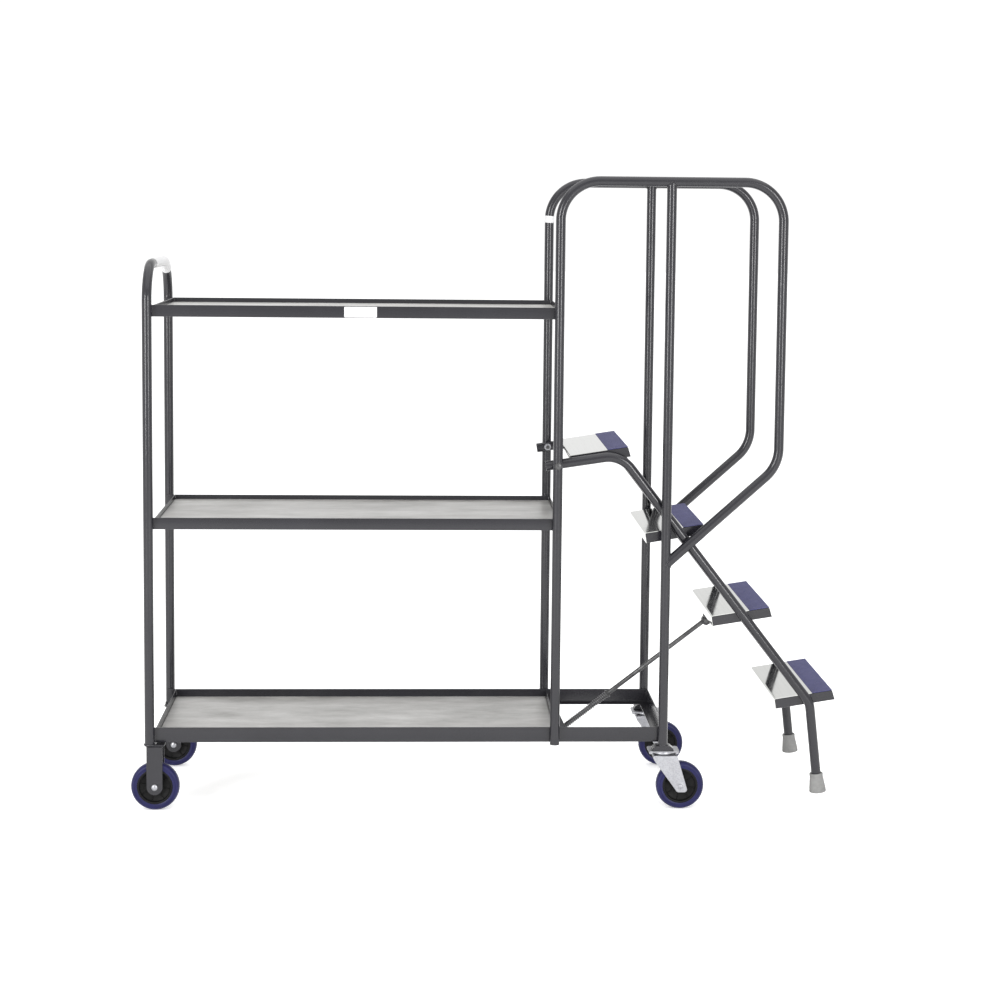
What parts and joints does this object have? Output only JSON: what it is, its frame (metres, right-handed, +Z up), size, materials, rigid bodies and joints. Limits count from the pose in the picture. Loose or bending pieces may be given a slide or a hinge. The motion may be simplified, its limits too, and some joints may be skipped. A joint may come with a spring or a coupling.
{
  "type": "order picking trolley with steps",
  "caption": "Wheeled steel shelf trolley with decks between a handle hoop and guard-rail loops, and a sprung step unit that settles to the floor under load.",
  "frame": {"origin": "middle of the outer box in plan, at floor level", "axes": "+Z up; +X along the trolley from the handle hoop to the steps; -Y is the near long side"},
  "size_m": [1.833, 0.4886, 1.6405],
  "materials": {
    "frame_paint": "satin dark grey powder coat",
    "board_grey": "satin grey laminated board, faintly mottled",
    "tyre_blue": "dark blue elastic tread",
    "hub_black": "black moulded",
    "zinc": "bright zinc plated",
    "dark_steel": "oiled dark steel",
    "tread_bright": "bright rolled sheet",
    "nosing_blue": "gritted anti-slip strip",
    "foot_grey": "light grey moulded rubber"
  },
  "bodies": {
    "frame": {"handle_hoop": "frame_paint", "top_shelf_frame": "frame_paint", "middle_shelf_frame": "frame_paint", "base_frame": "frame_paint", "top_shelf_board": "board_grey", "middle_shelf_board": "board_grey", "base_board": "board_grey", "base_crossmember": "frame_paint", "strut_bracket": "frame_paint", "guard_rail_front": "frame_paint", "guard_post_front": "frame_paint", "post_pad_front": "frame_paint", "fixed_fork_front": "frame_paint", "swivel_plate_front": "zinc", "pivot_bolt_front": "dark_steel", "pivot_nut_front": "zinc", "guard_rail_rear": "frame_paint", "guard_post_rear": "frame_paint", "post_pad_rear": "frame_paint", "fixed_fork_rear": "frame_paint", "swivel_plate_rear": "zinc", "pivot_bolt_rear": "dark_steel", "pivot_nut_rear": "zinc"},
    "ladder": {"strut_tab": "frame_paint", "strut_pin": "dark_steel", "stringer_front": "frame_paint", "rubber_foot_front": "foot_grey", "stringer_rear": "frame_paint", "rubber_foot_rear": "foot_grey", "tread_tray_1": "frame_paint", "tread_sheet_1": "tread_bright", "tread_nosing_1": "nosing_blue", "tread_tray_2": "frame_paint", "tread_sheet_2": "tread_bright", "tread_nosing_2": "nosing_blue", "tread_tray_3": "frame_paint", "tread_sheet_3": "tread_bright", "tread_nosing_3": "nosing_blue", "tread_tray_4": "frame_paint", "tread_sheet_4": "tread_bright", "tread_nosing_4": "nosing_blue"},
    "strut_eye_body": {"strut_eye": "dark_steel", "coil_spring": "dark_steel"},
    "strut_rod_body": {"strut_rod": "dark_steel"},
    "caster_fork_front": {"swivel_fork_front": "zinc"},
    "wheel_fixed_front": {"tyre_fixed_front": "tyre_blue", "wheel_hub_fixed_front": "hub_black", "axle_bolt_fixed_front": "zinc"},
    "wheel_swivel_front": {"tyre_swivel_front": "tyre_blue", "wheel_hub_swivel_front": "hub_black", "axle_bolt_swivel_front": "zinc"},
    "caster_fork_rear": {"swivel_fork_rear": "zinc"},
    "wheel_fixed_rear": {"tyre_fixed_rear": "tyre_blue", "wheel_hub_fixed_rear": "hub_black", "axle_bolt_fixed_rear": "zinc"},
    "wheel_swivel_rear": {"tyre_swivel_rear": "tyre_blue", "wheel_hub_swivel_rear": "hub_black", "axle_bolt_swivel_rear": "zinc"}
  },
  "joints": [
    {"name": "ladder_pivot", "type": "hinge", "parent": "frame", "child": "ladder", "pos_m": [0.178, 0, 0.902], "axis": [0, 1, 0], "range_deg": [0, 3.25], "stiffness_Nm_per_rad": 200, "springref_deg": -17.19},
    {"name": "strut_eye_pivot", "type": "hinge", "parent": "frame", "child": "strut_eye_body", "pos_m": [0.206, 0, 0.153], "axis": [0, 1, 0], "range_deg": [0, 0.311]},
    {"name": "strut_slide", "type": "slide", "parent": "strut_eye_body", "child": "strut_rod_body", "axis": [-0.7907, 0, -0.6122], "range_m": [0, 0.0357], "deforming": ["coil_spring"]},
    {"name": "caster_swivel_front", "type": "hinge", "parent": "frame", "child": "caster_fork_front", "pos_m": [0.463, -0.209, 0.144], "axis": [0, 0, 1], "continuous": true},
    {"name": "wheel_spin_swivel_front", "type": "hinge", "parent": "caster_fork_front", "child": "wheel_swivel_front", "pos_m": [0.5075, -0.209, 0.0625], "axis": [0, 1, 0], "continuous": true},
    {"name": "wheel_spin_fixed_front", "type": "hinge", "parent": "frame", "child": "wheel_fixed_front", "pos_m": [-0.854, -0.209, 0.0625], "axis": [0, 1, 0], "continuous": true},
    {"name": "caster_swivel_rear", "type": "hinge", "parent": "frame", "child": "caster_fork_rear", "pos_m": [0.463, 0.209, 0.144], "axis": [0, 0, 1], "continuous": true},
    {"name": "wheel_spin_swivel_rear", "type": "hinge", "parent": "caster_fork_rear", "child": "wheel_swivel_rear", "pos_m": [0.5075, 0.209, 0.0625], "axis": [0, 1, 0], "continuous": true},
    {"name": "wheel_spin_fixed_rear", "type": "hinge", "parent": "frame", "child": "wheel_fixed_rear", "pos_m": [-0.854, 0.209, 0.0625], "axis": [0, 1, 0], "continuous": true}
  ],
  "couplings": [
    {"joint": "strut_eye_pivot", "follows": "ladder_pivot", "ratio": 0.0912},
    {"joint": "strut_slide", "follows": "ladder_pivot", "m_per_rad": 0.61063}
  ]
}
